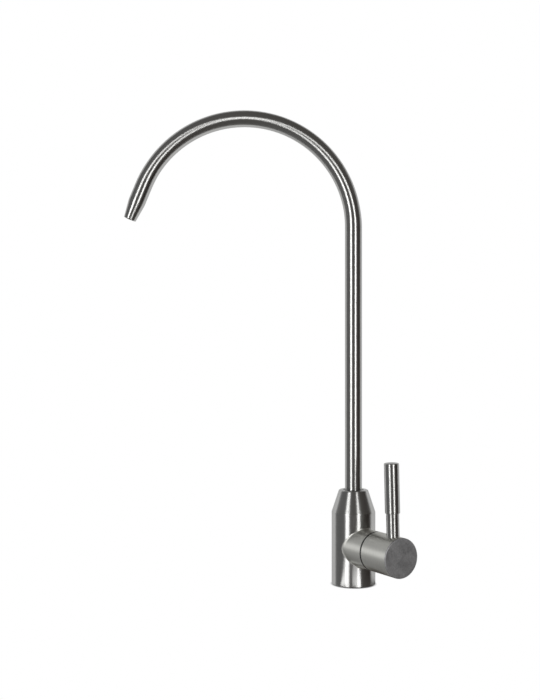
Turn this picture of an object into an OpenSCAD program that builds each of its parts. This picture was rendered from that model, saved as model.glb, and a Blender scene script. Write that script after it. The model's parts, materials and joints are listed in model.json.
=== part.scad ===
// Drinking water filter tap: a swan-neck spout that swivels in a turned column, and a
// quarter-turn ceramic valve in a side stub, worked by a knob with a pin lever.
// Millimetres. The origin is on the worktop, on the column's axis, and +Z is up.
// The spout lies over -X. The valve points to -Y, turned towards +X by valve_turn.

/* [Column] */
// Diameter of the column
column_d = 28.7; // [26:0.1:32]
// Height of the straight side above the worktop
column_h = 47.5; // [46:0.5:54]
// Height of the conical shoulder
shoulder_h = 14.5; // [12:0.5:18]
// Diameter of the shoulder's flat top
shoulder_top_d = 19; // [17.5:0.1:22]
// Radius of the rim round the flat top
shoulder_rim_r = 1.2; // [0.4:0.1:1.6]
// Radius of the edge between straight side and shoulder
shoulder_edge_r = 2; // [0.5:0.5:4]
// Bevel of the foot's edge
foot_bevel = 0.3; // [0.2:0.1:0.6]
// Diameter of the tapped hole for the fixing shank
shank_hole_d = 11; // [9:0.5:12]
// Depth of the tapped hole
shank_hole_depth = 12.5; // [10:0.5:14]
// Bore that brings the water up from the shank
inlet_bore_d = 6; // [5:0.5:7]

/* [Base gasket] */
// Outer diameter of the gasket
gasket_od = 24.4; // [22:0.2:24.6]
// Inner diameter of the gasket
gasket_id = 16; // [14:0.5:18]
// Thickness of the gasket
gasket_t = 2; // [1.5:0.1:3]
// Height that the gasket stands out of the foot
gasket_proud = 0.5; // [0.2:0.1:1]

/* [Spout] */
// Outer diameter of the tube
tube_d = 11.2; // [10:0.1:12]
// Wall of the tube
tube_wall = 1; // [0.8:0.1:1.2]
// Radius of the bend, to the tube's centre line
bend_r = 71.8; // [50:0.1:90]
// Angle of the bend
bend_angle = 157.5; // [120:0.5:180]
// Height of the bend's centre above the worktop
bend_z = 234; // [150:1:280]
// Length of the straight outlet after the bend
outlet_len = 23.6; // [16:0.2:40]
// Length of the swaged taper at the outlet
taper_len = 12; // [6:0.2:14]
// Outer diameter of the outlet's end
outlet_d = 8.1; // [6.5:0.1:9]
// Draw-in of the outlet's straight part, where it runs into the bend
outlet_draw = 0.02; // [0.01:0.01:0.1]

/* [Swivel joint] */
// Wall of the bush round the tube
bush_wall = 1; // [0.8:0.1:1.4]
// Length of the bush
bush_len = 8; // [6:0.5:9]
// Depth of the bush below the shoulder's top
bush_recess = 0.3; // [0.1:0.1:1]
// Length of the tail's head, which carries the seals
tail_head_len = 12; // [11.5:0.5:13.5]
// Length of the tail's spigot inside the tube
tail_spigot_len = 7; // [4:0.5:12]
// Bore through the tail
tail_bore_d = 6; // [4:0.5:6.5]
// Section of the tail's O-rings
tail_ring_d = 1.8; // [1.4:0.1:2]
// Thickness of the snap ring
snap_ring_t = 1.1; // [0.8:0.1:1.3]
// Radial width of the snap ring
snap_ring_w = 1.7; // [1.4:0.1:2]
// Angle of the gap in the snap ring
snap_ring_gap = 40; // [20:5:90]
// Thickness of the thrust washer under the tail
thrust_washer_t = 1; // [0.6:0.1:1.5]
// Diameter of the well below the tail, where the water gathers
well_d = 8; // [7:0.5:9]
// Depth of that well
well_depth = 2.5; // [2:0.1:3]
// Diameter of the drilling from the valve's chamber to the well
riser_d = 4; // [3:0.5:4.5]

/* [Valve stub] */
// Height of the valve's axis above the worktop
valve_z = 25.4; // [25:0.1:26.4]
// Turn of the valve from -Y towards +X
valve_turn = 30.4; // [0:0.1:60]
// Diameter of the stub and its knob
stub_d = 25.2; // [24:0.1:28]
// Distance of the stub's end from the column's axis
stub_reach = 24.9; // [24.5:0.1:34]
// Diameter of the valve's chamber and its thread
chamber_d = 16; // [15:0.5:17]
// Distance of the valve's seat from the column's axis
seat_reach = 5.5; // [5:0.1:6.5]
// Diameter of the water port in the seat
seat_port_d = 5; // [4:0.2:5.6]
// Gap between stub and knob
seam = 1; // [0.4:0.1:1.2]
// Radial width of the glide ring in the seam
glide_w = 0.8; // [0.6:0.1:1]
// Depth that the glide ring sits in the stub's end
glide_seat = 0.8; // [0.5:0.1:1.5]
// Depth of the glide ring below the stub's surface
glide_recess = 0.3; // [0.2:0.1:0.5]

/* [Valve cartridge] */
// Gap round the cage, where the water leaves the valve
cage_gap = 1.2; // [0.8:0.1:1.4]
// Wall of the cage
cage_wall = 0.8; // [0.6:0.1:1]
// Gap between the cage's nose and the seat
nose_gap = 0.9; // [0.5:0.1:1.2]
// Thickness of the seat seal
seal_t = 1.7; // [1.4:0.1:2.2]
// Radial width of the seat seal
seal_w = 1.6; // [1:0.1:2]
// Thickness of each ceramic disc
disc_t = 2.4; // [2:0.1:3]
// Angle of each port in the discs
port_angle = 80; // [60:1:84]
// Width of the hub between the ports
port_hub_d = 3.2; // [2.6:0.1:4]
// Rim left outside the fixed disc's ports
port_rim = 1.2; // [0.8:0.1:1.6]
// Angle that the valve turns from closed to open
turn_angle = 90; // [60:1:100]
// Diameter of the spindle's foot
foot_d = 9.2; // [8.8:0.1:9.6]
// Thickness of the spindle's foot
foot_t = 2.5; // [2:0.1:3]
// Angle of each stop lug on the foot
lug_angle = 36; // [24:1:44]
// Width of the key that drives the moving disc
key_w = 3; // [2:0.1:3.6]
// Length of that key
key_len = 8; // [6:0.1:9]
// Height of that key
key_h = 1; // [0.6:0.1:1.4]
// Diameter of the spindle
spindle_d = 8; // [7:0.1:8.4]
// Section of the spindle's O-rings
spindle_ring_d = 1.2; // [1:0.1:1.5]
// Distance between the spindle's O-rings
spindle_ring_pitch = 4; // [3:0.1:6]
// Thickness of the spindle's slip washer
spindle_washer_t = 0.5; // [0.3:0.1:1]
// Section of the O-ring under the flange
cartridge_ring_d = 1.3; // [1:0.1:1.5]
// Width of the flange outside that O-ring
flange_cover = 0.7; // [0.4:0.1:1]
// Thickness of the flange
flange_t = 1; // [0.8:0.1:1.5]
// Hexagon across its flats
hex_af = 17; // [14:0.5:18]
// Height of the hexagon
hex_h = 3; // [2:0.1:4]
// Diameter of the neck above the hexagon
neck_d = 11.6; // [10.4:0.1:13]
// Length of the neck
neck_len = 4.5; // [3:0.1:6]
// Thickness of the retaining clip
clip_t = 0.8; // [0.6:0.1:1]
// Radial width of the clip outside the spindle
clip_w = 1.2; // [0.8:0.1:1.5]
// Length of the spline
spline_len = 8.6; // [6:0.1:10]
// Number of the spline's teeth
spline_teeth = 20; // [12:1:24]
// Depth of the spline's teeth
spline_depth = 0.4; // [0.3:0.05:0.6]

/* [Knob and lever] */
// Length of the knob
knob_len = 25.4; // [22.5:0.1:34]
// Wall of the knob round its cavity
knob_wall = 1.2; // [0.9:0.1:1.5]
// Radius of the edge round the knob's end face
knob_edge_r = 0.6; // [0.3:0.1:1.5]
// Bevel of the edges at the seam
seam_bevel = 0.25; // [0.1:0.05:0.4]
// Distance of the lever's axis from the knob's end face
lever_inset = 8; // [6:0.1:9]
// Lean of the lever from upright, towards the spout, when the valve is closed
lever_lean = 1.6; // [0:0.1:5]
// Diameter of the lever's grip
grip_d = 9.4; // [8.8:0.1:11]
// Height of the grip's lower end above the valve's axis
grip_start = 26.9; // [20:0.1:34]
// Length of the grip
grip_len = 31.2; // [20:0.1:45]
// Radius of the edge round the grip's top
grip_top_r = 0.7; // [0.3:0.1:2]
// Radius of the edge round the grip's lower end
grip_low_r = 0.3; // [0.1:0.1:0.5]
// Diameter of the lever's neck
lever_neck_d = 8.1; // [6.4:0.1:8.6]
// Depth of the lever's seat below the top of the knob
lever_seat = 1.5; // [1:0.1:2]
// Diameter of the lever's stud
stud_d = 5; // [4:0.5:6]
// Length of the lever's stud
stud_len = 5; // [4:0.1:6]
// Diameter of the grub screw
grub_d = 4; // [3:0.5:5]
// Length of the grub screw
grub_len = 6; // [4:0.5:7]
// Distance of the grub screw from the knob's end face
grub_inset = 10.6; // [8:0.1:12]
// Hexagon socket of the grub screw across its flats
grub_socket_af = 2; // [1.5:0.5:2.5]
// Depth of that socket
grub_socket_depth = 2.5; // [1.5:0.1:3]

/* [Clearances] */
// Radial clearance between parts that are fitted and stay put
fit = 0.03; // [0.02:0.01:0.05]
// Radial clearance between parts that turn in each other
running_fit = 0.05; // [0.03:0.01:0.08]
// Clearance of a ring or washer in its groove
groove_play = 0.15; // [0.1:0.05:0.2]
// End clearance between parts that pass each other
end_play = 0.3; // [0.2:0.05:0.4]
// Clearance of the stop lugs, as an angle
stop_play = 0.6; // [0.3:0.1:1]

/* [Hidden] */
$fn = 96;
// Extra length of a cut past the face it opens
over = 1;

steel = [0.66, 0.66, 0.65];
brushed = [0.55, 0.56, 0.55];
brass = [0.78, 0.64, 0.36];
ceramic = [0.93, 0.92, 0.88];
rubber = [0.10, 0.10, 0.11];
acetal = [0.16, 0.16, 0.17];
slip = [0.86, 0.86, 0.84];
spring = [0.45, 0.45, 0.47];

// Column and swivel joint, heights above the worktop
top_z = column_h + shoulder_h;
socket_d = tube_d + 2 * (running_fit + bush_wall + fit);
bush_top = top_z - bush_recess;
bush_z = bush_top - bush_len;
tube_z = bush_z - end_play;
tail_z = tube_z - tail_head_len;
socket_z = tail_z - running_fit - thrust_washer_t;
tail_head_d = socket_d - 2 * groove_play;
tail_seal_d = socket_d - 2 * fit;
tail_groove_d = tail_seal_d - 2 * tail_ring_d - 2 * fit;
tail_groove_h = tail_ring_d + 4 * groove_play;
// Lands of the tail's head, from its top down: above the snap ring and between the grooves
tail_top_land = 1.9;
tail_land = 1.2;
snap_z = tube_z - tail_top_land - groove_play - snap_ring_t;
snap_groove_h = snap_ring_t + 2 * groove_play;
snap_ring_od = socket_d + snap_ring_w - 2 * groove_play * 2;
snap_ring_id = snap_ring_od - 2 * snap_ring_w;
upper_ring_z = snap_z - groove_play - tail_land - tail_groove_h / 2;
lower_ring_z = upper_ring_z - tail_groove_h - tail_land;

// Valve, distances along its axis from the column's axis
fixed_t = seat_reach + seal_t;
moving_t = fixed_t + disc_t;
foot_at = moving_t + disc_t;
washer_at = foot_at + foot_t;
shoulder_at = washer_at + spindle_washer_t;
nose_at = seat_reach + nose_gap;
// Length between the shoulder inside the housing and the start of its thread
thread_start = 1;
thread_at = shoulder_at + thread_start;
hex_at = stub_reach + flange_t;
neck_at = hex_at + hex_h;
neck_end = neck_at + neck_len;
clip_at = neck_end + groove_play;
// Land between the clip and the spline
clip_land = 0.5;
spline_at = clip_at + clip_t + clip_land;
spindle_end = spline_at + spline_len;
knob_at = stub_reach + seam;
knob_end = knob_at + knob_len;
lever_at = knob_end - lever_inset;
grub_at = knob_end - grub_inset;
inner_ring_at = shoulder_at + spindle_ring_d + 2;
outer_ring_at = inner_ring_at + spindle_ring_pitch;

chamber_bore = chamber_d + 2 * fit;
cage_d = chamber_d - 2 * cage_gap;
cage_bore = cage_d - 2 * cage_wall;
disc_d = cage_bore - 2 * running_fit;
port_d = disc_d - 2 * port_rim;
lug_d = cage_bore - 2 * groove_play;
spindle_bore = spindle_d + 2 * running_fit;
spindle_seal_d = spindle_bore - 2 * fit;
spindle_groove_d = spindle_seal_d - 2 * spindle_ring_d - 2 * fit;
clip_groove_d = spindle_d - clip_w;
spline_d = spindle_d - 2 * fit;
cartridge_ring_od = chamber_d + 2 * fit + 2 * cartridge_ring_d;
ring_seat_d = cartridge_ring_od + 2 * groove_play;
flange_d = ring_seat_d + 2 * flange_cover;
cavity_d = stub_d - 2 * knob_wall;
glide_od = stub_d - 2 * glide_recess;
glide_id = glide_od - 2 * glide_w;
lever_seat_y = stub_d / 2 - lever_seat;
grip_end = grip_start + grip_len;

// Angle, seen from the knob, of the ports in the discs and of the stop lugs
port_mid = 90;
lug_mid = 0;

// Arc that rounds the corner p, with radius r, between the sides towards a and b
function corner_arc(a, p, b, r, steps = 8) =
    let (u = (a - p) / norm(a - p))
    let (v = (b - p) / norm(b - p))
    let (half = acos(u * v) / 2)
    let (centre = p + (u + v) / norm(u + v) * r / sin(half))
    let (spoke = p + u * r / tan(half) - centre)
    let (sweep = (180 - 2 * half) * sign(u.y * v.x - u.x * v.y))
    [for (i = [0:steps])
        let (w = sweep * i / steps)
        centre + [spoke.x * cos(w) - spoke.y * sin(w), spoke.x * sin(w) + spoke.y * cos(w)]];

// Outline through corners given as [x, y, radius]
function outline(corners) =
    let (n = len(corners))
    [for (i = [0:n - 1])
        let (a = corners[(i + n - 1) % n])
        let (p = corners[i])
        let (b = corners[(i + 1) % n])
        each p[2] > 0
            ? corner_arc([a.x, a.y], [p.x, p.y], [b.x, b.y], p[2])
            : [[p.x, p.y]]];

// Serrated outline of the spline
function spline_points(d, depth, teeth) =
    [for (i = [0:2 * teeth - 1])
        let (r = d / 2 - (i % 2) * depth)
        let (a = 180 * i / teeth)
        r * [cos(a), sin(a)]];

// Puts its children on the valve's axis: +Z points out of the stub and +Y up
module on_valve(at = 0) {
    translate([0, 0, valve_z])
        rotate([0, 0, valve_turn])
            rotate([90, 0, 0])
                translate([0, 0, at])
                    children();
}

module ring(od, id, h) {
    difference() {
        cylinder(d = od, h = h);
        translate([0, 0, -over])
            cylinder(d = id, h = h + 2 * over);
    }
}

// O-ring by its outer diameter and section, centred on its plane
module o_ring(od, section) {
    rotate_extrude()
        translate([(od - section) / 2, 0])
            circle(d = section, $fn = 32);
}

// Wedge between two angles, long enough to cut a round of diameter d
module wedge(d, from, to, h) {
    steps = 4;
    reach = d / cos((to - from) / steps / 2);
    linear_extrude(h)
        polygon(concat([[0, 0]], [for (i = [0:steps])
            let (a = from + (to - from) * i / steps)
            reach * [cos(a), sin(a)]]));
}

// Part of a ring about the angle mid
module ring_sector(od, id, h, mid, angle) {
    intersection() {
        ring(od, id, h);
        translate([0, 0, -over])
            wedge(od, mid - angle / 2, mid + angle / 2, h + 2 * over);
    }
}

// Turned column: cone shoulder, swivel socket, valve chamber and the two waterways
module column() {
    foot_z = gasket_proud;
    // Riser: a slanted drilling, from the top of the valve's chamber to the side of the well
    riser_at = seat_reach + riser_d;
    riser_y = chamber_d / 2 - riser_d / 2;
    riser_run = riser_at - well_d / 4;
    riser_rise = socket_z - well_depth + riser_d / 4 - valve_z - riser_y;
    color(steel)
    difference() {
        rotate_extrude()
            polygon(outline([
                [0, foot_z, 0],
                [column_d / 2 - foot_bevel, foot_z, 0],
                [column_d / 2, foot_z + foot_bevel, 0],
                [column_d / 2, column_h, shoulder_edge_r],
                [shoulder_top_d / 2, top_z, shoulder_rim_r],
                [0, top_z, 0]
            ]));
        translate([0, 0, foot_z - over])
            cylinder(d = shank_hole_d, h = shank_hole_depth + over);
        translate([0, 0, foot_z + shank_hole_depth - over])
            cylinder(d = inlet_bore_d, h = valve_z + seat_port_d - foot_z - shank_hole_depth + over);
        translate([0, 0, foot_z - over])
            ring(gasket_od + 2 * groove_play, gasket_id - 2 * groove_play, gasket_t - foot_z + over);
        on_valve()
            cylinder(d = seat_port_d, h = seat_reach + over);
        on_valve(seat_reach)
            cylinder(d = chamber_bore, h = column_d / 2);
        on_valve(riser_at)
            translate([0, riser_y, 0])
                rotate([-90 - atan2(riser_run, riser_rise), 0, 0])
                    cylinder(d = riser_d, h = norm([riser_run, riser_rise]));
        translate([0, 0, socket_z - well_depth])
            cylinder(d = well_d, h = well_depth + over);
        translate([0, 0, socket_z])
            cylinder(d = socket_d, h = top_z - socket_z + over);
        translate([0, 0, snap_z - groove_play])
            cylinder(d = snap_ring_od + 2 * groove_play, h = snap_groove_h);
    }
}

// Side stub: saddle on the column, bored for the cartridge, with seats for two rings in its end
module valve_stub() {
    color(brushed)
    difference() {
        on_valve()
            difference() {
                rotate_extrude()
                    polygon(outline([
                        [0, 0, 0],
                        [stub_d / 2, 0, 0],
                        [stub_d / 2, stub_reach - seam_bevel, 0],
                        [stub_d / 2 - seam_bevel, stub_reach, 0],
                        [0, stub_reach, 0]
                    ]));
                translate([0, 0, -over])
                    cylinder(d = chamber_bore, h = stub_reach + 2 * over);
                translate([0, 0, stub_reach - cartridge_ring_d - groove_play])
                    cylinder(d = ring_seat_d, h = cartridge_ring_d + groove_play + over);
                translate([0, 0, stub_reach - glide_seat])
                    ring(glide_od + 2 * fit, glide_id - 2 * fit, glide_seat + over);
            }
        cylinder(d = column_d + 2 * fit, h = column_h);
    }
}

// Rubber ring in the foot's groove, standing proud so that it seals on the worktop
module base_gasket() {
    color(rubber)
    ring(gasket_od, gasket_id, gasket_t);
}

// Bush that guides the tube, pressed into the top of the socket
module swivel_bush() {
    color(acetal)
    translate([0, 0, bush_z])
        ring(socket_d - 2 * fit, tube_d + 2 * running_fit, bush_len);
}

// Slip washer between the socket's floor and the spout's tail
module thrust_washer() {
    color(slip)
    translate([0, 0, socket_z])
        ring(socket_d - 2 * groove_play, well_d + 2 * groove_play, thrust_washer_t);
}

// Dark ring in the seam, on which the knob's rim glides
module glide_ring() {
    color(acetal)
    on_valve(stub_reach - glide_seat)
        ring(glide_od, glide_id, glide_seat + seam - groove_play);
}

// Cartridge body: cage with two windows, stops for the spindle, thread, flange, hexagon and neck
module cartridge_housing() {
    pocket = lug_angle + turn_angle + 2 * stop_play;
    color(brass)
    on_valve()
        difference() {
            union() {
                translate([0, 0, nose_at])
                    cylinder(d = cage_d, h = thread_at - nose_at);
                translate([0, 0, thread_at])
                    cylinder(d = chamber_d, h = stub_reach - thread_at);
                translate([0, 0, stub_reach])
                    cylinder(d = flange_d, h = flange_t);
                translate([0, 0, hex_at])
                    cylinder(d = hex_af / cos(30), h = hex_h, $fn = 6);
                translate([0, 0, neck_at])
                    cylinder(d = neck_d, h = neck_len);
            }
            translate([0, 0, nose_at - over])
                cylinder(d = cage_bore, h = foot_at - nose_at + over);
            translate([0, 0, foot_at - over])
                cylinder(d = foot_d + 2 * groove_play, h = shoulder_at - foot_at + over);
            for (side = [0, 180])
                translate([0, 0, foot_at - disc_t / 2])
                    ring_sector(cage_bore, foot_d, foot_t + disc_t / 2, lug_mid + turn_angle / 2 + side, pocket);
            translate([0, 0, shoulder_at - over])
                cylinder(d = spindle_bore, h = neck_end - shoulder_at + 2 * over);
            for (side = [0, 180])
                translate([0, 0, moving_t])
                    ring_sector(cage_d + 2 * over, cage_bore - over, disc_t, port_mid + side, port_angle);
        }
}

// Seal between the stub's mouth and the cartridge's flange
module cartridge_o_ring() {
    color(rubber)
    on_valve(stub_reach - cartridge_ring_d / 2 - fit)
        o_ring(cartridge_ring_od, cartridge_ring_d);
}

// Rubber ring between the column's seat and the fixed disc
module seat_seal() {
    color(rubber)
    on_valve(seat_reach)
        ring(disc_d, disc_d - 2 * seal_w, seal_t);
}

// Ceramic disc that stays put, with two ports
module fixed_disc() {
    color(ceramic)
    on_valve(fixed_t)
        difference() {
            cylinder(d = disc_d, h = disc_t);
            for (side = [0, 180])
                translate([0, 0, -over])
                    ring_sector(port_d, port_hub_d, disc_t + 2 * over, port_mid + side, port_angle);
        }
}

// Bent tube with its swaged outlet, drawn upright on the column's axis
module spout_tube() {
    bore_d = tube_d - 2 * tube_wall;
    straight = outlet_len - taper_len;
    drawn_r = tube_d / 2 - outlet_draw;
    // Length of the outlet inside the bend's end, where the two run into each other
    lap = 0.5;
    color(steel)
    union() {
        translate([0, 0, tube_z])
            ring(tube_d, bore_d, bend_z - tube_z);
        translate([-bend_r, 0, bend_z])
            rotate([90, 0, 0]) {
                rotate_extrude(angle = bend_angle)
                    translate([bend_r, 0])
                        difference() {
                            circle(d = tube_d);
                            circle(d = bore_d);
                        }
                rotate([0, 0, bend_angle])
                    translate([bend_r, 0, 0])
                        rotate([-90, 0, 0])
                            rotate_extrude()
                                polygon([
                                    [drawn_r - tube_wall, -lap],
                                    [drawn_r, -lap],
                                    [drawn_r, straight],
                                    [outlet_d / 2, outlet_len],
                                    [outlet_d / 2 - tube_wall, outlet_len],
                                    [drawn_r - tube_wall, straight]
                                ]);
            }
    }
}

// Turned end brazed into the tube, with grooves for two O-rings and the snap ring
module spout_tail() {
    color(brass)
    difference() {
        union() {
            translate([0, 0, tail_z])
                cylinder(d = tail_head_d, h = tail_head_len);
            translate([0, 0, tube_z])
                cylinder(d = tube_d - 2 * tube_wall - 2 * fit, h = tail_spigot_len);
        }
        translate([0, 0, tail_z - over])
            cylinder(d = tail_bore_d, h = tail_head_len + tail_spigot_len + 2 * over);
        for (z = [upper_ring_z, lower_ring_z])
            translate([0, 0, z - tail_groove_h / 2])
                ring(tail_head_d + 2 * over, tail_groove_d, tail_groove_h);
        translate([0, 0, snap_z - groove_play])
            ring(tail_head_d + 2 * over, snap_ring_id - 2 * groove_play, snap_groove_h);
    }
}

module tail_o_ring_upper() {
    color(rubber)
    translate([0, 0, upper_ring_z])
        o_ring(tail_seal_d, tail_ring_d);
}

module tail_o_ring_lower() {
    color(rubber)
    translate([0, 0, lower_ring_z])
        o_ring(tail_seal_d, tail_ring_d);
}

// Split ring that sits half in the tail and half in the socket's groove
module spout_snap_ring() {
    color(spring)
    translate([0, 0, snap_z])
        ring_sector(snap_ring_od, snap_ring_id, snap_ring_t, 90, 360 - snap_ring_gap);
}

// Turned knob: cavity over the cartridge, splined socket, and holes for lever and grub screw
module knob() {
    color(brushed)
    on_valve()
        difference() {
            rotate_extrude()
                polygon(outline([
                    [0, knob_at, 0],
                    [stub_d / 2 - seam_bevel, knob_at, 0],
                    [stub_d / 2, knob_at + seam_bevel, 0],
                    [stub_d / 2, knob_end, knob_edge_r],
                    [0, knob_end, 0]
                ]));
            translate([0, 0, knob_at - over])
                cylinder(d = cavity_d, h = spline_at - knob_at + over);
            translate([0, 0, spline_at - over])
                linear_extrude(spline_len + end_play + over)
                    polygon(spline_points(spline_d + 2 * fit, spline_depth, spline_teeth));
            translate([0, 0, lever_at])
                rotate([-90, 0, lever_lean]) {
                    translate([0, 0, lever_seat_y])
                        cylinder(d = lever_neck_d + 2 * fit, h = lever_seat + over);
                    translate([0, 0, lever_seat_y - stud_len - end_play])
                        cylinder(d = stud_d + 2 * fit, h = stud_len + end_play + over);
                }
            translate([0, 0, grub_at])
                rotate([90, 0, lever_lean])
                    cylinder(d = grub_d + 2 * fit, h = stub_d / 2 + over);
        }
}

// Stepped pin lever: stud in the knob, slim neck and thicker grip
module lever() {
    color(steel)
    on_valve(lever_at)
        rotate([-90, 0, lever_lean])
            rotate_extrude()
                polygon(outline([
                    [0, lever_seat_y - stud_len, 0],
                    [stud_d / 2, lever_seat_y - stud_len, 0],
                    [stud_d / 2, lever_seat_y, 0],
                    [lever_neck_d / 2, lever_seat_y, 0],
                    [lever_neck_d / 2, grip_start, 0],
                    [grip_d / 2, grip_start, grip_low_r],
                    [grip_d / 2, grip_end, grip_top_r],
                    [0, grip_end, 0]
                ]));
}

// Socket set screw under the knob, which clamps it on the spindle
module knob_grub_screw() {
    color(spring)
    on_valve(grub_at)
        rotate([90, 0, lever_lean])
            translate([0, 0, spline_d / 2 + fit])
                difference() {
                    cylinder(d = grub_d, h = grub_len);
                    translate([0, 0, grub_len - grub_socket_depth])
                        cylinder(d = grub_socket_af / cos(30), h = grub_socket_depth + over, $fn = 6);
                }
}

// Valve spindle: key for the moving disc, foot with two stop lugs, ring grooves and spline
module spindle() {
    color(brass)
    on_valve()
        difference() {
            union() {
                translate([-key_w / 2, -key_len / 2, foot_at - key_h])
                    cube([key_w, key_len, key_h + foot_t / 2]);
                translate([0, 0, foot_at])
                    cylinder(d = foot_d, h = foot_t);
                for (side = [0, 180])
                    translate([0, 0, foot_at])
                        ring_sector(lug_d, foot_d - over, foot_t, lug_mid + side, lug_angle);
                translate([0, 0, washer_at])
                    cylinder(d = spindle_d, h = spline_at - washer_at);
                translate([0, 0, spline_at])
                    linear_extrude(spline_len)
                        polygon(spline_points(spline_d, spline_depth, spline_teeth));
            }
            for (at = [inner_ring_at, outer_ring_at])
                translate([0, 0, at - spindle_ring_d / 2 - groove_play])
                    ring(spindle_d + 2 * over, spindle_groove_d, spindle_ring_d + 2 * groove_play);
            translate([0, 0, clip_at - fit])
                ring(spindle_d + 2 * over, clip_groove_d, clip_t + 2 * fit);
        }
}

// Ceramic disc that the spindle turns over the fixed one
module moving_disc() {
    color(ceramic)
    on_valve(moving_t)
        difference() {
            cylinder(d = disc_d, h = disc_t);
            for (side = [0, 180])
                translate([0, 0, -over])
                    ring_sector(disc_d + 2 * over, port_hub_d, disc_t + 2 * over,
                        port_mid - turn_angle + side, port_angle);
            translate([-key_w / 2 - fit, -key_len / 2 - fit, disc_t - key_h - fit])
                cube([key_w + 2 * fit, key_len + 2 * fit, key_h + fit + over]);
        }
}

// Slip washer between the spindle's foot and the housing
module spindle_washer() {
    color(slip)
    on_valve(washer_at)
        ring(foot_d, spindle_d + 2 * running_fit, spindle_washer_t - running_fit);
}

module spindle_o_ring_inner() {
    color(rubber)
    on_valve(inner_ring_at)
        o_ring(spindle_seal_d, spindle_ring_d);
}

module spindle_o_ring_outer() {
    color(rubber)
    on_valve(outer_ring_at)
        o_ring(spindle_seal_d, spindle_ring_d);
}

// Open retaining clip in the spindle's groove, just outside the housing's neck
module spindle_clip() {
    color(spring)
    on_valve(clip_at)
        ring_sector(spindle_d + 2 * clip_w, clip_groove_d + 2 * fit, clip_t, 0, 290);
}

column();
valve_stub();
base_gasket();
swivel_bush();
thrust_washer();
glide_ring();
cartridge_housing();
cartridge_o_ring();
seat_seal();
fixed_disc();
spout_tube();
spout_tail();
tail_o_ring_upper();
tail_o_ring_lower();
spout_snap_ring();
knob();
lever();
knob_grub_screw();
spindle();
moving_disc();
spindle_washer();
spindle_o_ring_inner();
spindle_o_ring_outer();
spindle_clip();
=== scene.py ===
import json
import math
import bmesh
import bpy
from mathutils import Matrix, Vector


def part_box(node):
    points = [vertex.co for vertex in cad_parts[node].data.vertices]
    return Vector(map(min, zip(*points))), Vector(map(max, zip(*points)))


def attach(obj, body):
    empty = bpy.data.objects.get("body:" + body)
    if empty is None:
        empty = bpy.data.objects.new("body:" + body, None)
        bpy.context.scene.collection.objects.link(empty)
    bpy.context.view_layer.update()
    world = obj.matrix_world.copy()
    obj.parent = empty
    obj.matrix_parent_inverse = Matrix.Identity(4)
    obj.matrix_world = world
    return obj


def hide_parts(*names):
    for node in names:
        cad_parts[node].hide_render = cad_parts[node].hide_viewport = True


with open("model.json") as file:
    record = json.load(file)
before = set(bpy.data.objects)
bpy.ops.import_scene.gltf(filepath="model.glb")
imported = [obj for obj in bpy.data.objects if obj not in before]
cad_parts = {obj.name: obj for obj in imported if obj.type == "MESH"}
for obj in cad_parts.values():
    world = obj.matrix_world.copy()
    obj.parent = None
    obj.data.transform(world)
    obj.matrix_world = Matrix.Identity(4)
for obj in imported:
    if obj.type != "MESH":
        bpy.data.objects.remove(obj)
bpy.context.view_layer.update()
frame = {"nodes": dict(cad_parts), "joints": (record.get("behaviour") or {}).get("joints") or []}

# Column
# The tap's body is turned from one bar of stainless steel and left with the lathe's fine satin
# grain. It is bored for the spout's swivel above and for the valve at the side, and the tapped
# hole in its foot takes the fixing shank from under the worktop.
MM = 0.001
column_r = 14.34 * MM
shoulder_z = 47.5 * MM
shoulder_top_r = 9.5 * MM
shoulder_edge_r = 2 * MM
shoulder_rim_r = 1.2 * MM
edge_bevel = 0.3 * MM
socket_r = 6.68 * MM
well_r = 4 * MM
well_depth = 2.5 * MM
shank_r = 5.5 * MM
shank_depth = 12.5 * MM
shank_pitch = 1.25 * MM
shank_thread_depth = 0.6 * MM
inlet_r = 3 * MM
gasket_groove = (7.85 * MM, 12.35 * MM)
gasket_groove_top = 2 * MM
valve_seat = 5.5 * MM
valve_port_r = 2.5 * MM
chamber_r = 8.03 * MM
chamber_drill_end = column_r + 4 * MM
same_r = 0.01 * MM
foot_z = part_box("column")[0].z
top_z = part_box("column")[1].z
socket_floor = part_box("thrust_washer")[0].z
shank_top = foot_z + shank_depth
handle_joint = next(joint for joint in frame["joints"] if joint["name"] == "handle_turn")
valve_axis = Vector(handle_joint["axis"])
valve_turn = math.atan2(valve_axis.x, -valve_axis.y)
valve_place = Matrix.Translation(handle_joint["pos_m"])
valve_place @= Matrix.Rotation(valve_turn, 4, "Z")
valve_place @= Matrix.Rotation(math.radians(90), 4, "X")
inlet_top = valve_place.translation.z + valve_port_r


def rounded(corners, steps=6):
    """Outline through (radius, height, corner radius) points, each corner turned into an arc."""
    outline = []
    for i, (across, up, corner_r) in enumerate(corners):
        corner = Vector((across, up))
        if corner_r == 0:
            outline.append(corner)
            continue
        back = (Vector(corners[i - 1][:2]) - corner).normalized()
        on = (Vector(corners[(i + 1) % len(corners)][:2]) - corner).normalized()
        half = back.angle(on) / 2
        centre = corner + (back + on).normalized() * corner_r / math.sin(half)
        start = (corner + back * corner_r / math.tan(half) - centre).normalized()
        end = (corner + on * corner_r / math.tan(half) - centre).normalized()
        for step in range(steps + 1):
            outline.append(centre + start.slerp(end, step / steps) * corner_r)
    return outline


def straight_round(across, up, angle):
    """Place of an outline's point, turned by an angle about a straight axis."""
    return across * math.cos(angle), across * math.sin(angle), up


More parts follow.
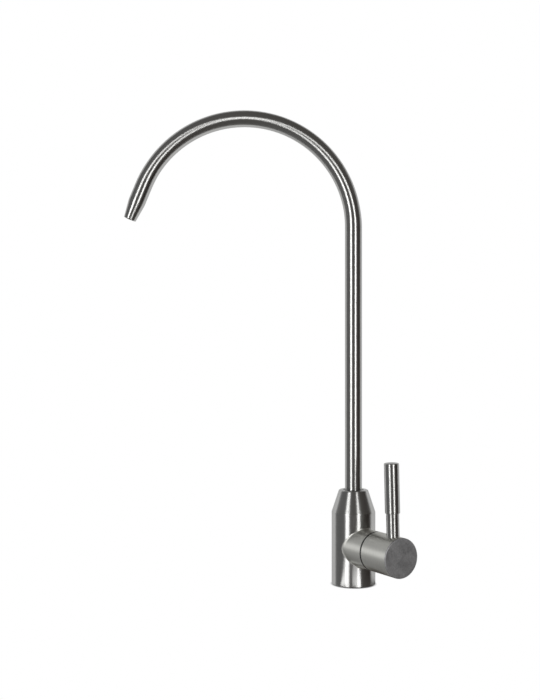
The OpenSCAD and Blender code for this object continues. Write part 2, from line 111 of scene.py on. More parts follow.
def turned(name, outline, sides=128, longest=3 * MM, place=straight_round, is_ring=False):
    """Piece made by turning an outline about its axis. Its map holds the length along the
    outline in millimetres and the turn about the axis, which the grain follows."""
    ends = outline[1:] + outline[:1] if is_ring else outline[1:]
    stops = []
    for start, end in zip(outline, ends):
        parts = max(1, math.ceil((end - start).length / longest))
        stops += [start.lerp(end, part / parts) for part in range(parts)]
    stops.append(ends[-1])
    shape = bmesh.new()
    grain_map = shape.loops.layers.uv.new("grain")
    circles = []
    along = [0]
    for i, (across, up) in enumerate(stops):
        if i > 0:
            along.append(along[-1] + (stops[i] - stops[i - 1]).length / MM)
        if is_ring and i == len(stops) - 1:
            circles.append(circles[0])
            continue
        turns = range(sides) if across > 0 else [0]
        circles.append([shape.verts.new(place(across, up, 2 * math.pi * k / sides)) for k in turns])
    for i in range(len(stops) - 1):
        for k in range(sides):
            corners = []
            for row, step in ((i, 0), (i + 1, 0), (i + 1, 1), (i, 1)):
                vertex = circles[row][(k + step) % len(circles[row])]
                if vertex not in [used for used, _ in corners]:
                    corners.append((vertex, (along[row], (k + step) / sides)))
            face = shape.faces.new([vertex for vertex, _ in corners])
            for loop, (_, spot) in zip(face.loops, corners):
                loop[grain_map].uv = spot
    bmesh.ops.recalc_face_normals(shape, faces=shape.faces)
    mesh = bpy.data.meshes.new(name)
    shape.to_mesh(mesh)
    shape.free()
    piece = bpy.data.objects.new(name, mesh)
    bpy.context.scene.collection.objects.link(piece)
    return piece


def bored(piece, *drills):
    """Cuts the drills out of a piece, and takes them away."""
    for drill in drills:
        cut = piece.modifiers.new("bore", "BOOLEAN")
        cut.operation = "DIFFERENCE"
        cut.solver = "EXACT"
        cut.object = drill
    view = bpy.context.evaluated_depsgraph_get()
    piece.data = bpy.data.meshes.new_from_object(piece.evaluated_get(view))
    piece.modifiers.clear()
    for drill in drills:
        bpy.data.objects.remove(drill)


def smoothed(piece, sharpest=math.radians(40)):
    """Shades a piece's curves evenly and keeps its sharp edges."""
    for face in piece.data.polygons:
        face.use_smooth = True
    piece.data.set_sharp_from_angle(angle=sharpest)
    even = piece.modifiers.new("even shading", "WEIGHTED_NORMAL")
    even.keep_sharp = True


def dressed(piece, finishes, body, node):
    """Gives a piece its finishes, and its place on the tap instead of the plain solid."""
    piece.data.materials.clear()
    for finish in finishes:
        piece.data.materials.append(finish)
    smoothed(piece)
    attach(piece, body)
    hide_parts(node)


def thread_wave(up, angle, pitch):
    """Height of a right-handed thread's flank, from 0 at the root to 1 at the crest."""
    return abs((up / pitch - angle / (2 * math.pi)) % 1 * 2 - 1)


def column_round(across, up, angle):
    """Place of a point of the column, with the thread cut into the shank's hole."""
    if abs(across - shank_r) < same_r and foot_z < up < shank_top:
        run_out = min(1, (up - foot_z) / shank_pitch, (shank_top - up) / shank_pitch)
        across -= shank_thread_depth * run_out * thread_wave(up, angle, shank_pitch)
    return straight_round(across, up, angle)


column_outline = rounded([
    (0, inlet_top, 0),
    (inlet_r, inlet_top, 0),
    (inlet_r, shank_top, 0),
    (shank_r, shank_top, 0),
])
thread_steps = 96
column_outline += [
    Vector((shank_r, shank_top - shank_depth * step / thread_steps))
    for step in range(1, thread_steps)
]
column_outline += rounded([
    (shank_r, foot_z + edge_bevel, 0),
    (shank_r + edge_bevel, foot_z, 0),
    (gasket_groove[0], foot_z, 0),
    (gasket_groove[0], gasket_groove_top, 0),
    (gasket_groove[1], gasket_groove_top, 0),
    (gasket_groove[1], foot_z, 0),
    (column_r, foot_z, edge_bevel),
    (column_r, shoulder_z, shoulder_edge_r),
    (shoulder_top_r, top_z, shoulder_rim_r),
    (socket_r, top_z, edge_bevel),
    (socket_r, socket_floor, 0),
    (well_r, socket_floor, 0),
    (well_r, socket_floor - well_depth, 0),
    (0, socket_floor - well_depth, 0),
])
column = turned("column_body", column_outline, sides=144, place=column_round)
chamber_drill = turned("chamber_drill", rounded([
    (0, 0, 0),
    (valve_port_r, 0, 0),
    (valve_port_r, valve_seat, 0),
    (chamber_r, valve_seat, 0),
    (chamber_r, chamber_drill_end, 0),
    (0, chamber_drill_end, 0),
]))
chamber_drill.matrix_world = valve_place
bored(column, chamber_drill)


def new_group(name, inputs, outputs):
    """Empty node group with these number inputs, as (name, default), and number outputs."""
    group = bpy.data.node_groups.new(name, "ShaderNodeTree")
    for socket, default in inputs:
        made = group.interface.new_socket(socket, in_out="INPUT", socket_type="NodeSocketFloat")
        made.default_value = default
    for socket in outputs:
        group.interface.new_socket(socket, in_out="OUTPUT", socket_type="NodeSocketFloat")
    return group, group.nodes.new("NodeGroupInput"), group.nodes.new("NodeGroupOutput")


def sum_node(tree, operation, first, second=0.0):
    """Math node between two sockets or numbers, and its output."""
    node = tree.nodes.new("ShaderNodeMath")
    node.operation = operation
    for socket, value in zip(node.inputs, (first, second)):
        if isinstance(value, (int, float)):
            socket.default_value = value
        else:
            tree.links.new(value, socket)
    return node.outputs[0]


def noise_node(tree, vector, detail):
    """Noise on a vector, and its value."""
    node = tree.nodes.new("ShaderNodeTexNoise")
    node.inputs["Scale"].default_value = 1
    node.inputs["Detail"].default_value = detail
    tree.links.new(vector, node.inputs["Vector"])
    return node.outputs["Fac"]


def lathe_grain_group():
    """Fine grooves that run round a turned piece, and the slow cloudiness of its polish."""
    group, given, out = new_group(
        "lathe_grain", [("Grooves per mm", 3.0), ("Breaks per turn", 2.0)], ["Groove", "Cloud"])
    place = group.nodes.new("ShaderNodeUVMap")
    place.uv_map = "grain"
    split = group.nodes.new("ShaderNodeSeparateXYZ")
    group.links.new(place.outputs["UV"], split.inputs[0])
    turn = sum_node(group, "MULTIPLY", split.outputs["Y"], 2 * math.pi)
    sine = sum_node(group, "SINE", turn)
    cosine = sum_node(group, "COSINE", turn)
    groove_detail = 4
    cloud_detail = 2
    clouds_per_mm = 0.09
    clouds_per_turn = 0.7
    grooves = given.outputs["Grooves per mm"]
    breaks = given.outputs["Breaks per turn"]
    for output, per_mm, per_turn, detail in (
            ("Groove", grooves, breaks, groove_detail),
            ("Cloud", clouds_per_mm, clouds_per_turn, cloud_detail)):
        spot = group.nodes.new("ShaderNodeCombineXYZ")
        group.links.new(sum_node(group, "MULTIPLY", split.outputs["X"], per_mm), spot.inputs["X"])
        group.links.new(sum_node(group, "MULTIPLY", sine, per_turn), spot.inputs["Y"])
        group.links.new(sum_node(group, "MULTIPLY", cosine, per_turn), spot.inputs["Z"])
        group.links.new(noise_node(group, spot.outputs[0], detail), out.inputs[output])
    return group


lathe_grain = lathe_grain_group()


def new_finish(name):
    """Empty material with its shader."""
    finish = bpy.data.materials.new(name)
    finish.use_nodes = True
    return finish, finish.node_tree, finish.node_tree.nodes["Principled BSDF"]


def blend_node(tree, share, dark, light):
    """Colour between two colours or colour sockets, by a value from 0 to 1."""
    node = tree.nodes.new("ShaderNodeMix")
    node.data_type = "RGBA"
    tree.links.new(share, node.inputs["Factor"])
    for socket, colour in (("A", dark), ("B", light)):
        if isinstance(colour, tuple):
            node.inputs[socket].default_value = (*colour, 1)
        else:
            tree.links.new(colour, node.inputs[socket])
    return node.outputs["Result"]


def relief(tree, shader, height, depth):
    """Raises a shader's surface by a value from 0 to 1, times a depth."""
    bump = tree.nodes.new("ShaderNodeBump")
    bump.inputs["Distance"].default_value = depth
    tree.links.new(height, bump.inputs["Height"])
    tree.links.new(bump.outputs["Normal"], shader.inputs["Normal"])


def turned_metal(name, dark, light, roughness, stretch, grooves, breaks, depth):
    """Metal finished on a lathe: grooves round the axis, which stretch highlights along it."""
    edge_tint = (0.7, 0.7, 0.7, 1)
    finish, tree, shader = new_finish(name)
    grain = tree.nodes.new("ShaderNodeGroup")
    grain.node_tree = lathe_grain
    grain.inputs["Grooves per mm"].default_value = grooves
    grain.inputs["Breaks per turn"].default_value = breaks
    shader.inputs["Metallic"].default_value = 1
    shader.inputs["Anisotropic"].default_value = stretch
    shader.inputs["Specular Tint"].default_value = edge_tint
    colour = blend_node(tree, grain.outputs["Groove"], dark, light)
    tree.links.new(colour, shader.inputs["Base Color"])
    smooth, rough = roughness
    cloudy = sum_node(tree, "MULTIPLY", grain.outputs["Cloud"], rough - smooth)
    tree.links.new(sum_node(tree, "ADD", cloudy, smooth), shader.inputs["Roughness"])
    along_axis = tree.nodes.new("ShaderNodeTangent")
    along_axis.direction_type = "UV_MAP"
    along_axis.uv_map = "grain"
    tree.links.new(along_axis.outputs[0], shader.inputs["Tangent"])
    relief(tree, shader, grain.outputs["Groove"], depth)
    return finish


satin_steel = turned_metal(
    "satin_steel", dark=(0.42, 0.42, 0.41), light=(0.52, 0.52, 0.51), roughness=(0.30, 0.34),
    stretch=0.95, grooves=3.0, breaks=2.0, depth=0.0005 * MM)
dressed(column, [satin_steel], "tap_body", "column")

# Base gasket
# A moulded ring of black rubber lies in the groove of the column's foot and stands half a
# millimetre proud, so that the nut below squeezes it onto the worktop.
gasket_low, gasket_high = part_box("base_gasket")
gasket_hole_r = 8 * MM
gasket_edge_r = 0.3 * MM
gasket = turned("gasket_ring", rounded([
    (gasket_hole_r, gasket_low.z, gasket_edge_r),
    (gasket_high.x, gasket_low.z, gasket_edge_r),
    (gasket_high.x, gasket_high.z, gasket_edge_r),
    (gasket_hole_r, gasket_high.z, gasket_edge_r),
]), is_ring=True)


def mottle_group():
    """Fine specks and slow clouds through a moulded, cast or machined piece."""
    group, given, out = new_group("mottle", [("Specks per mm", 6.0)], ["Speck", "Cloud"])
    place = group.nodes.new("ShaderNodeTexCoord")
    speck_detail = 3
    cloud_detail = 2
    clouds_per_mm = 0.2
    for output, per_mm, detail in (
            ("Speck", given.outputs["Specks per mm"], speck_detail),
            ("Cloud", clouds_per_mm, cloud_detail)):
        spot = group.nodes.new("ShaderNodeVectorMath")
        spot.operation = "SCALE"
        group.links.new(place.outputs["Object"], spot.inputs[0])
        group.links.new(sum_node(group, "DIVIDE", per_mm, MM), spot.inputs["Scale"])
        group.links.new(noise_node(group, spot.outputs[0], detail), out.inputs[output])
    return group


mottle = mottle_group()


def mottled(name, dark, light, roughness, specks, depth, metallic=0.0):
    """Moulded, cast or machined stuff with fine specks, uneven gloss and a faint relief."""
    finish, tree, shader = new_finish(name)
    patch = tree.nodes.new("ShaderNodeGroup")
    patch.node_tree = mottle
    patch.inputs["Specks per mm"].default_value = specks
    shader.inputs["Metallic"].default_value = metallic
    both = sum_node(tree, "ADD", patch.outputs["Speck"], patch.outputs["Cloud"])
    mean = sum_node(tree, "MULTIPLY", both, 0.5)
    tree.links.new(blend_node(tree, mean, dark, light), shader.inputs["Base Color"])
    smooth, rough = roughness
    cloudy = sum_node(tree, "MULTIPLY", patch.outputs["Cloud"], rough - smooth)
    tree.links.new(sum_node(tree, "ADD", cloudy, smooth), shader.inputs["Roughness"])
    relief(tree, shader, patch.outputs["Speck"], depth)
    return finish


black_rubber = mottled(
    "black_rubber", dark=(0.010, 0.010, 0.011), light=(0.030, 0.030, 0.032),
    roughness=(0.55, 0.8), specks=5, depth=0.02 * MM)
dressed(gasket, [black_rubber], "tap_body", "base_gasket")

# Valve stub
# The side stub is a piece of brushed steel bar, saddle-cut to fit the column and welded to it,
# with the weld polished to a smooth hollow. Its mouth has seats for the cartridge's seal and for
# the glide ring.
stub_r = 12.59 * MM
stub_reach = 24.9 * MM
seam_bevel = 0.25 * MM
weld_gap = 0.03 * MM
weld_leg = 1.4 * MM
weld_flare = 0.7 * MM
weld_steps = 6
saddle_knee = 18 * MM
ring_seat_r = 9.48 * MM
ring_seat_depth = 1.45 * MM
glide_seat = (11.47 * MM, 12.33 * MM)
glide_seat_depth = 0.8 * MM


def stub_round(across, up, angle):
    """Place of a point of the stub, whose inner end follows the column's round side and runs out
    into it in the weld's hollow."""
    if up >= saddle_knee:
        return straight_round(across, up, angle)
    sideways = across * math.cos(angle)
    saddle = math.sqrt((column_r + weld_gap) ** 2 - sideways ** 2)
    if across < stub_r:
        return straight_round(across, saddle + up * (saddle_knee - saddle) / saddle_knee, angle)
    fall = math.atan2(sideways * math.cos(angle), saddle)
    hollow = weld_flare / math.cos(fall)
    rise = min(up / weld_leg, 1)
    foot = (1 - rise) ** 2
    upper = max(up - weld_leg, 0) / (saddle_knee - weld_leg)
    side_up = saddle + hollow + upper * (saddle_knee - saddle - hollow)
    weld_up = saddle + rise ** 2 * hollow - foot * (hollow * math.sin(fall) + weld_gap)
    return straight_round(
        across + foot * weld_flare, side_up if up > weld_leg else weld_up, angle)


stub_outline = [Vector((chamber_r, 0))]
stub_outline += [Vector((stub_r, weld_leg * step / weld_steps)) for step in range(weld_steps + 1)]
stub_outline += rounded([
    (stub_r, stub_reach - seam_bevel, 0),
    (glide_seat[1], stub_reach, 0),
    (glide_seat[1], stub_reach - glide_seat_depth, 0),
    (glide_seat[0], stub_reach - glide_seat_depth, 0),
    (glide_seat[0], stub_reach, 0),
    (ring_seat_r, stub_reach, 0),
    (ring_seat_r, stub_reach - ring_seat_depth, 0),
    (chamber_r, stub_reach - ring_seat_depth, 0),
])
stub = turned("stub_barrel", stub_outline, longest=1 * MM, place=stub_round, is_ring=True)
stub.data.transform(valve_place)
brushed_steel = turned_metal(
    "brushed_steel", dark=(0.63, 0.63, 0.595), light=(0.81, 0.81, 0.77), roughness=(0.40, 0.46),
    stretch=0.9, grooves=2.0, breaks=3.0, depth=0.006 * MM)
# Painted shade: the steel lips either side of the seam are darkened nearly to black, standing in
# for the shade in the groove between stub and knob.
seam_painted_shade = mottled(
    "seam_painted_shade", dark=(0.03, 0.03, 0.03), light=(0.08, 0.08, 0.078),
    roughness=(0.5, 0.6), specks=4, depth=0.004 * MM, metallic=1)
dressed(stub, [brushed_steel, seam_painted_shade], "tap_body", "valve_stub")


def finish_band(piece, start, end, finish):
    """Gives the faces between two places along the valve's axis one of the piece's finishes."""
    finish_index = piece.data.materials.find(finish.name)
    for face in piece.data.polygons:
        if start < (face.center - valve_place.translation).dot(valve_axis) < end:
            face.material_index = finish_index


# The stub's lip at the seam gets the painted shade.
finish_band(stub, stub_reach - seam_bevel, math.inf, seam_painted_shade)

# Valve cartridge
# A quarter-turn cartridge screws into the stub: a machined brass housing and spindle, lapped
# ceramic discs, black rubber seals, a white slip washer and a spring steel clip.
turned_brass = mottled(
    "turned_brass", dark=(0.58, 0.42, 0.17), light=(0.74, 0.57, 0.27),
    roughness=(0.22, 0.36), specks=4, depth=0.006 * MM, metallic=1)
lapped_ceramic = mottled(
    "lapped_ceramic", dark=(0.78, 0.76, 0.70), light=(0.90, 0.88, 0.83),
    roughness=(0.12, 0.22), specks=12, depth=0.001 * MM)
slip_plastic = mottled(
    "slip_plastic", dark=(0.74, 0.74, 0.71), light=(0.85, 0.85, 0.82),
    roughness=(0.4, 0.55), specks=5, depth=0.005 * MM)
spring_steel = mottled(
    "spring_steel", dark=(0.30, 0.30, 0.31), light=(0.42, 0.42, 0.44),
    roughness=(0.25, 0.4), specks=5, depth=0.005 * MM, metallic=1)


def finish_nodes(finish, *names):
    """Puts a finish on solids that stay as they are."""
    for name in names:
        for held in frame["nodes"][name].material_slots:
            held.material = finish


finish_nodes(turned_brass, "cartridge_housing", "spindle")
finish_nodes(lapped_ceramic, "fixed_disc", "moving_disc")
finish_nodes(black_rubber, "seat_seal", "cartridge_o_ring")
finish_nodes(black_rubber, "spindle_o_ring_inner", "spindle_o_ring_outer")
finish_nodes(slip_plastic, "spindle_washer")
finish_nodes(spring_steel, "spindle_clip")

# Glide ring
# A thin ring of black acetal sits in the stub's mouth and shows as the dark line between stub
# and knob, which painted shade on the steel lips either side widens. The knob's rim glides on it.
glide_r = (11.5 * MM, 12.3 * MM)
glide_start = stub_reach - glide_seat_depth
glide_proud = 0.85 * MM
glide_end = stub_reach + glide_proud
glide_edge_r = 0.1 * MM
glide = turned("glide_band", rounded([
    (glide_r[0], glide_start, glide_edge_r),
    (glide_r[1], glide_start, glide_edge_r),
    (glide_r[1], glide_end, glide_edge_r),
    (glide_r[0], glide_end, glide_edge_r),
]), is_ring=True)
glide.data.transform(valve_place)
black_acetal = mottled(
    "black_acetal", dark=(0.012, 0.012, 0.013), light=(0.025, 0.025, 0.027),
    roughness=(0.35, 0.5), specks=4, depth=0.008 * MM)
dressed(glide, [black_acetal], "tap_body", "glide_ring")

# Knob
# The knob is turned from the same bar as the stub and brushed with it, so the grain runs on
# across the seam. Its flat end is bead-blasted, and it grips the spindle with a splined socket.
knob_start = 25.9 * MM
knob_end = 51.3 * MM
knob_edge_r = 0.6 * MM
cavity_r = 11.4 * MM
spline_start = 34.85 * MM
spline_end = 43.75 * MM
spline_r = 4 * MM
spline_depth = 0.4 * MM
spline_teeth = 20
lever_at = 43.3 * MM
lever_lean = math.radians(1.6)
lever_seat_y = 11.1 * MM
lever_neck_r = 4.05 * MM
stud_r = 2.5 * MM
stud_len = 5 * MM
grub_at = 40.7 * MM
grub_r = 2 * MM
hole_play = 0.03 * MM
hole_bevel = 0.2 * MM
past_skin = 1 * MM


def knob_round(across, up, angle):
    """Place of a point of the knob, with the spline's teeth in its socket."""
    if abs(across - spline_r) < same_r:
        across -= spline_depth * abs(angle * spline_teeth / (2 * math.pi) % 1 * 2 - 1)
    return straight_round(across, up, angle)


knob = turned("knob_cap", rounded([
    (0, spline_end, 0),
    (spline_r, spline_end, 0),
    (spline_r, spline_start, 0),
    (cavity_r, spline_start, 0),
    (cavity_r, knob_start, 0),
    (stub_r, knob_start, seam_bevel),
    (stub_r, knob_end, knob_edge_r),
    (0, knob_end, 0),
]), sides=160, longest=1 * MM, place=knob_round)
knob_turn = valve_place @ Matrix.Rotation(lever_lean, 4, "Z")
lever_place = knob_turn @ Matrix.Translation((0, 0, lever_at))
lever_place @= Matrix.Rotation(math.radians(-90), 4, "X")
grub_place = knob_turn @ Matrix.Translation((0, 0, grub_at))
grub_place @= Matrix.Rotation(math.radians(90), 4, "X")
lever_drill = turned("lever_drill", rounded([
    (0, lever_seat_y - stud_len, 0),
    (stud_r + hole_play, lever_seat_y - stud_len, 0),
    (stud_r + hole_play, lever_seat_y, 0),
    (lever_neck_r + hole_play, lever_seat_y, 0),
    (lever_neck_r + hole_play, stub_r + past_skin, 0),
    (0, stub_r + past_skin, 0),
]), sides=72)
grub_drill = turned("grub_drill", rounded([
    (0, spline_r / 2, 0),
    (grub_r + hole_play, spline_r / 2, 0),
    (grub_r + hole_play, stub_r - hole_bevel, 0),
    (grub_r + past_skin, stub_r + past_skin - hole_bevel, 0),
    (0, stub_r + past_skin - hole_bevel, 0),
]), sides=72)
knob.data.transform(valve_place)
lever_drill.matrix_world = lever_place
grub_drill.matrix_world = grub_place
bored(knob, lever_drill, grub_drill)
blasted_steel = mottled(
    "blasted_steel", dark=(0.12, 0.12, 0.125), light=(0.72, 0.72, 0.732),
    roughness=(0.5, 0.6), specks=1, depth=0.01 * MM, metallic=1)
dressed(knob, [brushed_steel, blasted_steel, seam_painted_shade], "handle", "knob")
finish_band(knob, knob_end - knob_edge_r, math.inf, blasted_steel)
# The knob's lip at the seam gets the painted shade too.
finish_band(knob, -math.inf, knob_start + seam_bevel, seam_painted_shade)

# Grub screw
# A socket set screw of hardened spring steel, with a rolled thread and a pressed key socket. It is
# screwed into the knob from below and clamps it on the spindle's spline.
grub_start = 4 * MM
grub_len = 6 * MM
grub_pitch = 0.7 * MM
grub_thread_depth = 0.3 * MM
grub_point_r = 1.4 * MM
grub_bevel = 0.4 * MM
key_r = 1 * MM
key_depth = 2.5 * MM
key_floor = 0.4 * MM
grub_end = grub_start + grub_len


def grub_round(across, up, angle):
    """Place of a point of the screw, with its thread outside and its six-sided key socket."""
    if abs(across - grub_r) < same_r:
        across -= grub_thread_depth * thread_wave(up, angle, grub_pitch)
    elif abs(across - key_r) < same_r:
        across = key_r / math.cos(angle % math.radians(60) - math.radians(30))
    return straight_round(across, up, angle)


grub = turned("grub_screw", rounded([
    (0, grub_start + grub_bevel, 0),
    (grub_point_r, grub_start, 0),
    (grub_r, grub_start + grub_bevel, 0),
    (grub_r, grub_end - grub_bevel, 0),
    (grub_r - grub_bevel, grub_end, 0),
    (key_r, grub_end, 0),
    (key_r, grub_end - key_depth, 0),
    (0, grub_end - key_depth - key_floor, 0),
]), sides=72, longest=grub_pitch / 8, place=grub_round)
grub.data.transform(grub_place)
dressed(grub, [spring_steel], "handle", "knob_grub_screw")

# Lever
# The lever is a turned pin of satin steel, screwed into the top of the knob by a stud. A slim
# neck carries a thicker grip with a softened top.
grip_start = 26.9 * MM
grip_end = 58.1 * MM
grip_r = 4.7 * MM
grip_low_r = 0.3 * MM
grip_top_r = 0.7 * MM
stud_pitch = 0.8 * MM
stud_thread_depth = 0.35 * MM


def lever_round(across, up, angle):
    """Place of a point of the lever, with the stud's thread."""
    if abs(across - stud_r) < same_r:
        across -= stud_thread_depth * thread_wave(up, angle, stud_pitch)
    return straight_round(across, up, angle)


lever_outline = [Vector((0, lever_seat_y - stud_len))]
stud_steps = 50
lever_outline += [
    Vector((stud_r, lever_seat_y - stud_len + stud_len * step / stud_steps))
    for step in range(stud_steps)
]
lever_outline += rounded([
    (stud_r, lever_seat_y, 0),
    (lever_neck_r, lever_seat_y, 0),
    (lever_neck_r, grip_start, 0),
    (grip_r, grip_start, grip_low_r),
    (grip_r, grip_end, grip_top_r),
    (0, grip_end, 0),
])
lever = turned("lever_pin", lever_outline, sides=96, longest=2 * MM, place=lever_round)
lever.data.transform(lever_place)
dressed(lever, [satin_steel], "handle", "lever")

# Swivel joint
# A black acetal bush pressed into the column's shoulder guides the tube and shows as the dark
# ring round it. Below, a brass tail with two rubber rings seals the spout, a spring ring holds
# it down and a white slip washer carries it.
bush_low, bush_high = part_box("swivel_bush")
bush_r = (5.65 * MM, 6.65 * MM)
bush_edge_r = 0.25 * MM
bush = turned("swivel_sleeve", rounded([
    (bush_r[0], bush_low.z, bush_edge_r),
    (bush_r[1], bush_low.z, bush_edge_r),
    (bush_r[1], bush_high.z, bush_edge_r),
    (bush_r[0], bush_high.z, bush_edge_r),
]), is_ring=True)
dressed(bush, [black_acetal], "tap_body", "swivel_bush")
finish_nodes(turned_brass, "spout_tail")
finish_nodes(black_rubber, "tail_o_ring_upper", "tail_o_ring_lower")
finish_nodes(spring_steel, "spout_snap_ring")
finish_nodes(slip_plastic, "thrust_washer")

# Spout tube
# The spout is a thin-walled stainless tube, drawn round a former into a swan neck, which
# flattens it a little. Its outlet is swaged down to a smaller mouth, and both ends are deburred.
tube_r = 5.6 * MM
tube_wall = 1 * MM
bend_r = 71.8 * MM
bend_angle = math.radians(157.5)
bend_z = 234 * MM
outlet_len = 23.6 * MM
taper_len = 12 * MM
outlet_r = 4.05 * MM
lip_r = 0.3 * MM
flattening = 0.03
flattening_len = 15 * MM
tube_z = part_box("spout_tube")[0].z
rise_len = bend_z - tube_z
bend_len = bend_r * bend_angle
tube_len = rise_len + bend_len + outlet_len


def tube_round(across, up, angle):
    """Place of a point of the tube, a distance up along its bent centre line."""
    turn = min(max((up - rise_len) / bend_r, 0), bend_angle)
    ahead = Vector((-math.sin(turn), 0, math.cos(turn)))
    outwards = Vector((math.cos(turn), 0, math.sin(turn)))
    centre = Vector((-bend_r, 0, bend_z)) + outwards * bend_r
    centre += ahead * (min(up - rise_len, 0) + max(up - rise_len - bend_len, 0))
    into_bend = min(max(min(up - rise_len, rise_len + bend_len - up) / flattening_len, 0), 1)
    flat = flattening * into_bend * into_bend * (3 - 2 * into_bend)
    spoke = outwards * math.cos(angle) * (1 - flat)
    spoke += Vector((0, 1, 0)) * math.sin(angle) * (1 + flat / 2)
    return centre + spoke * across


tube = turned("spout_neck", rounded([
    (tube_r, 0, lip_r),
    (tube_r, tube_len - taper_len, 0),
    (outlet_r, tube_len, lip_r),
    (outlet_r - tube_wall, tube_len, lip_r),
    (tube_r - tube_wall, tube_len - taper_len, 0),
    (tube_r - tube_wall, 0, lip_r),
]), sides=72, longest=2 * MM, place=tube_round, is_ring=True)
dressed(tube, [satin_steel], "spout", "spout_tube")

# Floor
# The tap stands on a plain white sweep that shines evenly, with a painted contact shadow that
# darkens it only in the thin gap along the foot. A dim oval sheet under the knob is a painted
# shadow for the knob's own shade, which shows only in the steel.
floor_r = 12.0
contact_shadow_reach = 1.5 * MM
shade_middle = (13 * MM, -14 * MM, 0.1 * MM)
shade_width = 18 * MM
shade_len = 26 * MM
shade_colour = (0.1, 0.093, 0.086, 1)


def self_lit(name):
    """Material with its own even light, which the lamps don't change."""
    finish, tree, shader = new_finish(name)
    finish.cycles.emission_sampling = "NONE"
    shader.inputs["Base Color"].default_value = (0, 0, 0, 1)
    shader.inputs["Specular IOR Level"].default_value = 0
    shader.inputs["Emission Strength"].default_value = 1
    return finish, tree, shader


def flat_sheet(name, place, finish, segments):
    """Flat sheet from a circle of one metre, stretched and put in its place, without a shadow."""
    sheet = bmesh.new()
    bmesh.ops.create_circle(sheet, cap_ends=True, segments=segments, radius=1, matrix=place)
    mesh = bpy.data.meshes.new(name)
    sheet.to_mesh(mesh)
    sheet.free()
    mesh.materials.append(finish)
    piece = bpy.data.objects.new(name, mesh)
    piece.visible_shadow = False
    bpy.context.scene.collection.objects.link(piece)
    return piece


white_sweep, tree, shader = self_lit("white_sweep")
# Painted contact shadow: ambient occlusion darkens the sweep's own glow where the foot stands
# close.
painted_contact_shadow = tree.nodes.new("ShaderNodeAmbientOcclusion")
painted_contact_shadow.inputs["Distance"].default_value = contact_shadow_reach
tree.links.new(painted_contact_shadow.outputs["Color"], shader.inputs["Emission Color"])
floor_place = Matrix.Diagonal((floor_r, floor_r, 1, 1))
floor = flat_sheet("floor", floor_place, white_sweep, segments=96)
floor.visible_glossy = False

# Painted shadow: a dim self-lit sheet, hidden from the camera, stands in for the knob's own shade
# on the floor as the steel mirrors it.
shaded_floor, tree, shader = self_lit("shaded_floor")
shader.inputs["Emission Color"].default_value = shade_colour
shade_place = Matrix.Translation(shade_middle)
shade_place @= Matrix.Rotation(valve_turn, 4, "Z")
shade_place @= Matrix.Diagonal((shade_width, shade_len, 1, 1))
knob_shade = flat_sheet("knob_shade", shade_place, shaded_floor, segments=64)
knob_shade.visible_camera = False

# Studio light
# Two upright softboxes stand in front of the tap, left and right. The walls are grey, with a dim
# corner at the right, and the white sweep closes the space behind, with a painted shadow of the
# tap low at the back left. Two lit patches of floor close to the foot shine on the column only.
softbox_distance = 2.0
softbox_z = 0.29
softbox_height = 0.84
glow_distance = 34 * MM
glow_z = 0.2 * MM
glow_len = 34 * MM
left_wall = (0.19, 0.19, 0.19)
right_wall = (0.12, 0.113, 0.106)
corner_colour = (0.014, 0.009, 0.006)
sweep_colour = (0.92, 0.92, 0.92)


def area_lamp(name, shape, size, power, azimuth, distance, height, tilt):
    """Flat lamp at an angle from the camera's side, tilted up from facing the floor."""
    lamp = bpy.data.lights.new(name, "AREA")
    lamp.shape = shape
    lamp.size, lamp.size_y = size
    lamp.energy = power
    stand = bpy.data.objects.new(name, lamp)
    stand.location = (distance * math.sin(azimuth), -distance * math.cos(azimuth), height)
    stand.rotation_euler = (tilt, 0, azimuth)
    bpy.context.scene.collection.objects.link(stand)
    return stand


for name, azimuth, width, power in (
        ("left_softbox", math.radians(-36.6), 0.66, 13.6),
        ("right_softbox", math.radians(24.2), 0.60, 12)):
    area_lamp(
        name, "RECTANGLE", (width, softbox_height), power, azimuth, softbox_distance, softbox_z,
        tilt=math.radians(90))

lit_by_floor = bpy.data.collections.new("lit_by_floor")
lit_by_floor.objects.link(column)
for name, azimuth, width, power in (
        ("left_glow", math.radians(-41.5), 12 * MM, 0.0031),
        ("right_glow", math.radians(6.5), 18 * MM, 0.0030)):
    glow = area_lamp(
        name, "ELLIPSE", (width, glow_len), power, azimuth, glow_distance, glow_z,
        tilt=math.radians(180))
    glow.light_linking.receiver_collection = lit_by_floor
    glow.visible_camera = False

world = bpy.data.worlds.new("studio")
world.use_nodes = True
world.cycles.sampling_method = "NONE"
bpy.context.scene.world = world
tree = world.node_tree
towards = tree.nodes.new("ShaderNodeTexCoord").outputs["Generated"]


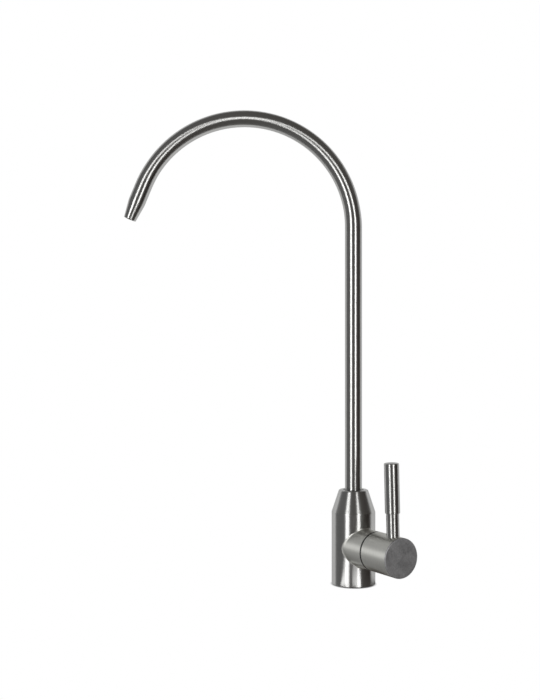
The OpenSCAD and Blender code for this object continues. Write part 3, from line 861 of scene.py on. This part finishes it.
def facing(direction, start, end):
    """Share of a direction in the one looked along, eased from 0 at start to 1 at end."""
    share = tree.nodes.new("ShaderNodeVectorMath")
    share.operation = "DOT_PRODUCT"
    share.inputs[1].default_value = direction
    tree.links.new(towards, share.inputs[0])
    ease = tree.nodes.new("ShaderNodeMapRange")
    ease.interpolation_type = "SMOOTHSTEP"
    ease.inputs["From Min"].default_value = start
    ease.inputs["From Max"].default_value = end
    tree.links.new(share.outputs["Value"], ease.inputs["Value"])
    return ease.outputs["Result"]


on_right = facing((1, 0, 0), start=-0.9, end=0.4)
in_corner = facing((0.93, -0.2, -0.3), start=0.84, end=0.96)
behind_tap = facing((-0.2, 0.99, -0.6), start=-0.1, end=0.1)
inside_sweep = facing((0.144, 0.99, 0.02), start=0.2, end=0.32)
# Painted shadow: a dim spot low in the sweep at the back left, standing in for the tap's own shadow
# on the floor as the barrel's underside mirrors it.
tap_shadow_spot = facing((0.55, -0.58, 0.6), start=-1.04, end=-0.93)
walls = blend_node(tree, on_right, left_wall, right_wall)
walls = blend_node(tree, in_corner, walls, corner_colour)
on_sweep = sum_node(tree, "MINIMUM", behind_tap, inside_sweep)
on_sweep = sum_node(tree, "MINIMUM", on_sweep, tap_shadow_spot)
around = tree.nodes["Background"]
tree.links.new(blend_node(tree, on_sweep, walls, sweep_colour), around.inputs["Color"])
seen = tree.nodes.new("ShaderNodeBackground")
seen.inputs["Color"].default_value = (1, 1, 1, 1)
rays = tree.nodes.new("ShaderNodeLightPath")
choose = tree.nodes.new("ShaderNodeMixShader")
tree.links.new(rays.outputs["Is Camera Ray"], choose.inputs["Fac"])
tree.links.new(around.outputs[0], choose.inputs[1])
tree.links.new(seen.outputs[0], choose.inputs[2])
tree.links.new(choose.outputs[0], tree.nodes["World Output"].inputs["Surface"])

# Camera
# It stands level in front of the tap, a little left of the column and at half the tap's height.
# The lens takes in the whole tap with white space round it.
camera_data = bpy.data.cameras.new("camera")
camera_data.lens = 53.16
camera_data.sensor_width = 36
camera_data.clip_start = 10 * MM
camera = bpy.data.objects.new("camera", camera_data)
camera.location = (-54.9 * MM, -680 * MM, 153.7 * MM)
camera.rotation_euler = (math.radians(90), 0, 0)
bpy.context.scene.collection.objects.link(camera)
bpy.context.scene.camera = camera
bpy.context.scene.view_settings.view_transform = "Standard"
